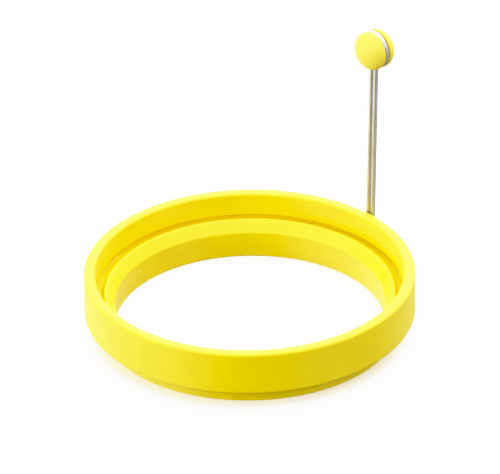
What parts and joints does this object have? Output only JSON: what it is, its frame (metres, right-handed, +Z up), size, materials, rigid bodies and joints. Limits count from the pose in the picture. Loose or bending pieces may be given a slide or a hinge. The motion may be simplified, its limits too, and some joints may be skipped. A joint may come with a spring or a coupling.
{
  "type": "egg ring",
  "caption": "Round silicone egg ring with an inner ledge and narrower foot, and a folding stainless wire handle that carries a grooved ball knob.",
  "frame": {"origin": "on the worktop, under the middle of the object's box", "axes": "+Z up along the ring's axis, +Y from the ring's axis out through the handle, +X along the handle's hinge"},
  "size_m": [0.1, 0.1084, 0.08],
  "materials": {
    "ring_silicone": "satin moulded silicone",
    "stainless_wire": "polished stainless wire",
    "knob_silicone": "satin moulded silicone"
  },
  "bodies": {
    "ring": {"silicone_ring": "ring_silicone"},
    "handle": {"wire_handle": "stainless_wire", "knob": "knob_silicone"}
  },
  "joints": [
    {"name": "handle_fold", "type": "hinge", "parent": "ring", "child": "handle", "pos_m": [0, 0.04686, 0.0108], "axis": [-1, 0, 0], "range_deg": [-1.8, 90]}
  ]
}
